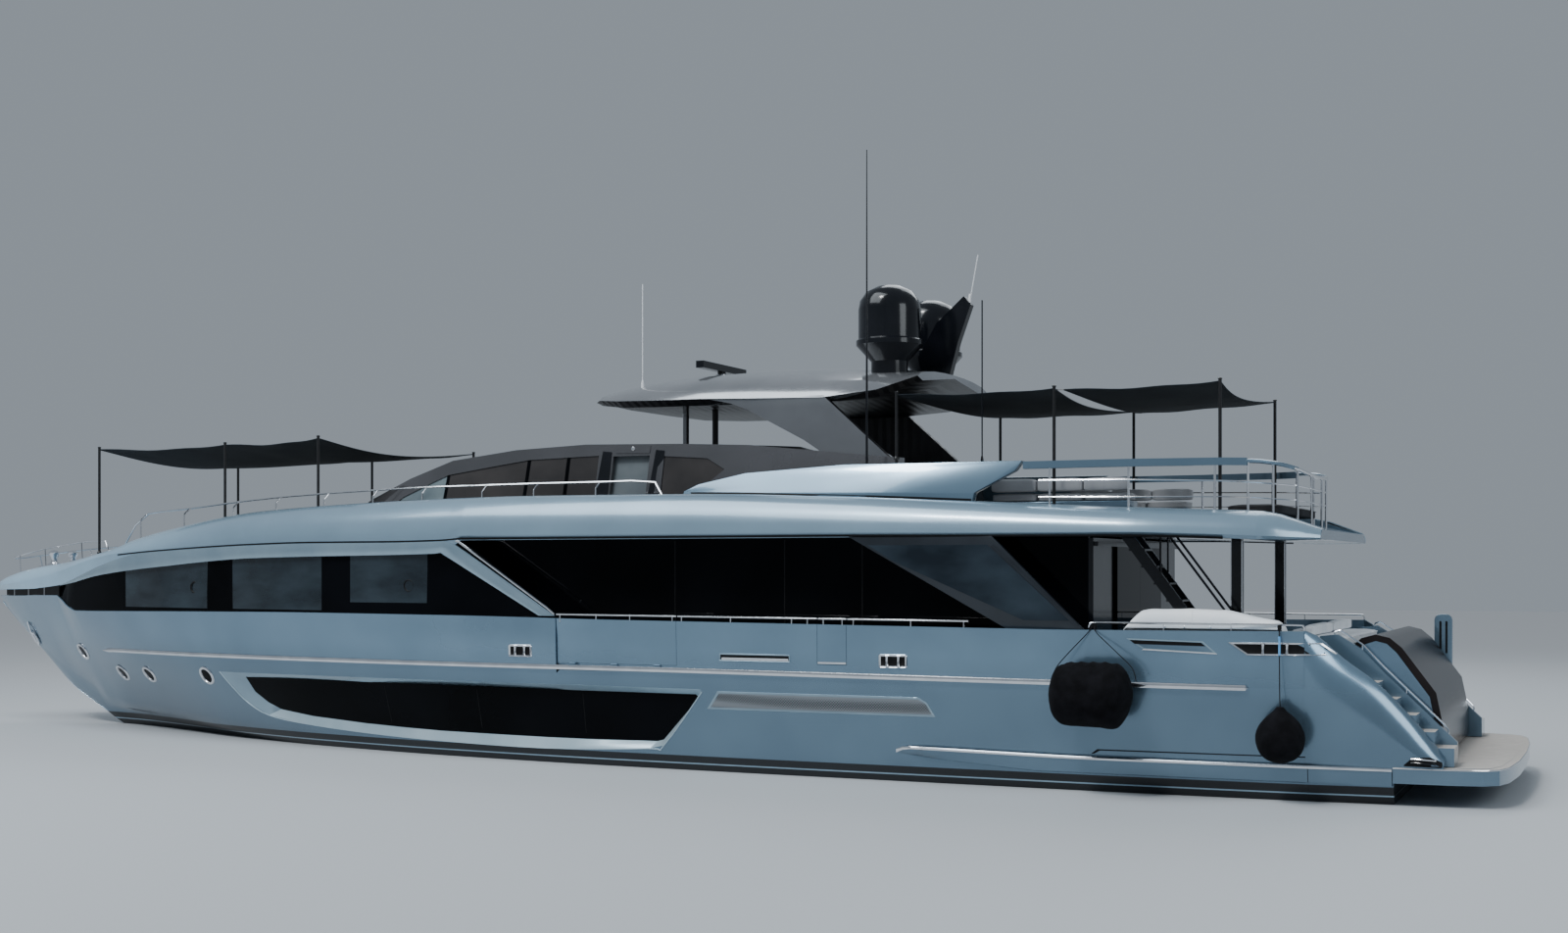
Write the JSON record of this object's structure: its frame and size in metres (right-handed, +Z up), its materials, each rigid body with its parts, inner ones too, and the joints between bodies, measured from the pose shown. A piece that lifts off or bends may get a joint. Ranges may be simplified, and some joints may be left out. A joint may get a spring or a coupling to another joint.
{
  "type": "flybridge motor yacht",
  "caption": "Planing motor yacht with a steel-blue hull, black glass, dark grey hardtop, dark awnings, twin propellers and rudders, fold-down balconies and a stern garage.",
  "frame": {"origin": "on the waterline, amidships, in the centre plane", "axes": "+X aft, -Y port, +Z up"},
  "size_m": [33.385, 8.2683, 12.7256],
  "materials": {
    "hull_paint": "metallic steel-blue gloss",
    "upper_paint": "metallic dark grey gloss",
    "dark_glass": "black tinted glass",
    "black_coating": "black semi-gloss",
    "stainless": "polished stainless steel",
    "awning_cloth": "charcoal awning cloth on black poles",
    "cover_cloth": "white coated cover cloth",
    "fender_cloth": "black knitted fender cover",
    "bronze": "cast and ground bronze",
    "antifouling": "matt black bottom paint",
    "teak": "weathered teak planks",
    "lid_gloss": "very dark brown gloss"
  },
  "bodies": {
    "yacht": {"bulwark_port": "hull_paint", "bulwark_starboard": "hull_paint", "bow_deck": "hull_paint", "coachroof": "hull_paint", "upper_deck": "hull_paint", "fly_rail": "hull_paint", "gangway_post": "hull_paint", "hull": "hull_paint", "fly_coaming_port": "hull_paint", "fly_coaming_starboard": "hull_paint", "stern_stairs_port": "hull_paint", "stern_stairs_starboard": "hull_paint", "wheelhouse": "upper_paint", "hardtop": "upper_paint", "side_wing_port": "dark_glass", "side_wing_starboard": "dark_glass", "owners_window_port": "dark_glass", "owners_window_starboard": "dark_glass", "saloon_side_port": "dark_glass", "saloon_side_starboard": "dark_glass", "windscreen": "dark_glass", "wheelhouse_window_port": "dark_glass", "wheelhouse_window_starboard": "dark_glass", "fly_window_port": "dark_glass", "fly_window_starboard": "dark_glass", "saloon_aft_wall": "black_coating", "mast": "black_coating", "cockpit_stairs": "black_coating", "antenna_tall": "black_coating", "radome_port": "black_coating", "radome_starboard": "black_coating", "side_rail_port": "stainless", "side_rail_starboard": "stainless", "bow_rail": "stainless", "windlass": "stainless", "foredeck_awning": "awning_cloth", "fly_awning_forward": "awning_cloth", "fly_awning_aft": "awning_cloth", "covered_settee": "cover_cloth", "fender_long": "fender_cloth", "fender_ball": "fender_cloth", "strut_port": "bronze", "strut_starboard": "bronze", "swim_platform": "teak"},
    "balcony_port": {"balcony_port": "hull_paint"},
    "balcony_starboard": {"balcony_starboard": "hull_paint"},
    "gate_port": {"gate_port": "hull_paint"},
    "gate_starboard": {"gate_starboard": "hull_paint"},
    "saloon_door_port": {"saloon_door_port": "dark_glass"},
    "saloon_door_starboard": {"saloon_door_starboard": "dark_glass"},
    "wheelhouse_door_port": {"wheelhouse_door_port": "dark_glass"},
    "wheelhouse_door_starboard": {"wheelhouse_door_starboard": "dark_glass"},
    "propeller_port": {"propeller_port": "bronze"},
    "propeller_starboard": {"propeller_starboard": "bronze"},
    "rudder_port": {"rudder_port": "bronze"},
    "rudder_starboard": {"rudder_starboard": "bronze"},
    "stabiliser_port": {"stabiliser_port": "antifouling"},
    "stabiliser_starboard": {"stabiliser_starboard": "antifouling"},
    "garage_lid": {"garage_lid": "lid_gloss"},
    "radar_bar": {"radar_bar": "black_coating"}
  },
  "joints": [
    {"name": "propeller_port_spin", "type": "hinge", "parent": "yacht", "child": "propeller_port", "pos_m": [12.3, -1.35, -1.6], "axis": [0.9806, 0, -0.1961], "continuous": true},
    {"name": "rudder_port_turn", "type": "hinge", "parent": "yacht", "child": "rudder_port", "pos_m": [13.25, -1.35, -0.6], "axis": [0, 0, 1], "range_deg": [-35, 35]},
    {"name": "stabiliser_port_turn", "type": "hinge", "parent": "yacht", "child": "stabiliser_port", "pos_m": [1, -2.35, -0.62], "axis": [0, -0.5501, -0.8351], "range_deg": [-20, 20]},
    {"name": "balcony_port_fold", "type": "hinge", "parent": "yacht", "child": "balcony_port", "pos_m": [2.1, -3.606, 1.823], "axis": [1, 0, 0], "range_deg": [0, 88]},
    {"name": "gate_port_swing", "type": "hinge", "parent": "yacht", "child": "gate_port", "pos_m": [6.504, -3.464, 2.2], "axis": [0, 0, -1], "range_deg": [0, 90]},
    {"name": "saloon_door_port_slide", "type": "slide", "parent": "yacht", "child": "saloon_door_port", "axis": [0, -1, 0], "range_m": [0, 1.2]},
    {"name": "wheelhouse_door_port_slide", "type": "slide", "parent": "yacht", "child": "wheelhouse_door_port", "axis": [1, 0, 0], "range_m": [0, 0.7]},
    {"name": "propeller_starboard_spin", "type": "hinge", "parent": "yacht", "child": "propeller_starboard", "pos_m": [12.3, 1.35, -1.6], "axis": [0.9806, 0, -0.1961], "continuous": true},
    {"name": "rudder_starboard_turn", "type": "hinge", "parent": "yacht", "child": "rudder_starboard", "pos_m": [13.25, 1.35, -0.6], "axis": [0, 0, 1], "range_deg": [-35, 35]},
    {"name": "stabiliser_starboard_turn", "type": "hinge", "parent": "yacht", "child": "stabiliser_starboard", "pos_m": [1, 2.35, -0.62], "axis": [0, 0.5501, -0.8351], "range_deg": [-20, 20]},
    {"name": "balcony_starboard_fold", "type": "hinge", "parent": "yacht", "child": "balcony_starboard", "pos_m": [2.1, 3.606, 1.823], "axis": [-1, 0, 0], "range_deg": [0, 88]},
    {"name": "gate_starboard_swing", "type": "hinge", "parent": "yacht", "child": "gate_starboard", "pos_m": [6.504, 3.464, 2.2], "axis": [0, 0, 1], "range_deg": [0, 90]},
    {"name": "saloon_door_starboard_slide", "type": "slide", "parent": "yacht", "child": "saloon_door_starboard", "axis": [0, 1, 0], "range_m": [0, 1.2]},
    {"name": "wheelhouse_door_starboard_slide", "type": "slide", "parent": "yacht", "child": "wheelhouse_door_starboard", "axis": [1, 0, 0], "range_m": [0, 0.7]},
    {"name": "garage_lid_lift", "type": "hinge", "parent": "yacht", "child": "garage_lid", "pos_m": [14.2803, 0, 2.28], "axis": [0, -1, 0], "range_deg": [0, 70]},
    {"name": "radar_spin", "type": "hinge", "parent": "yacht", "child": "radar_bar", "pos_m": [2.4, 0, 7.3], "axis": [0, 0, 1], "continuous": true}
  ]
}
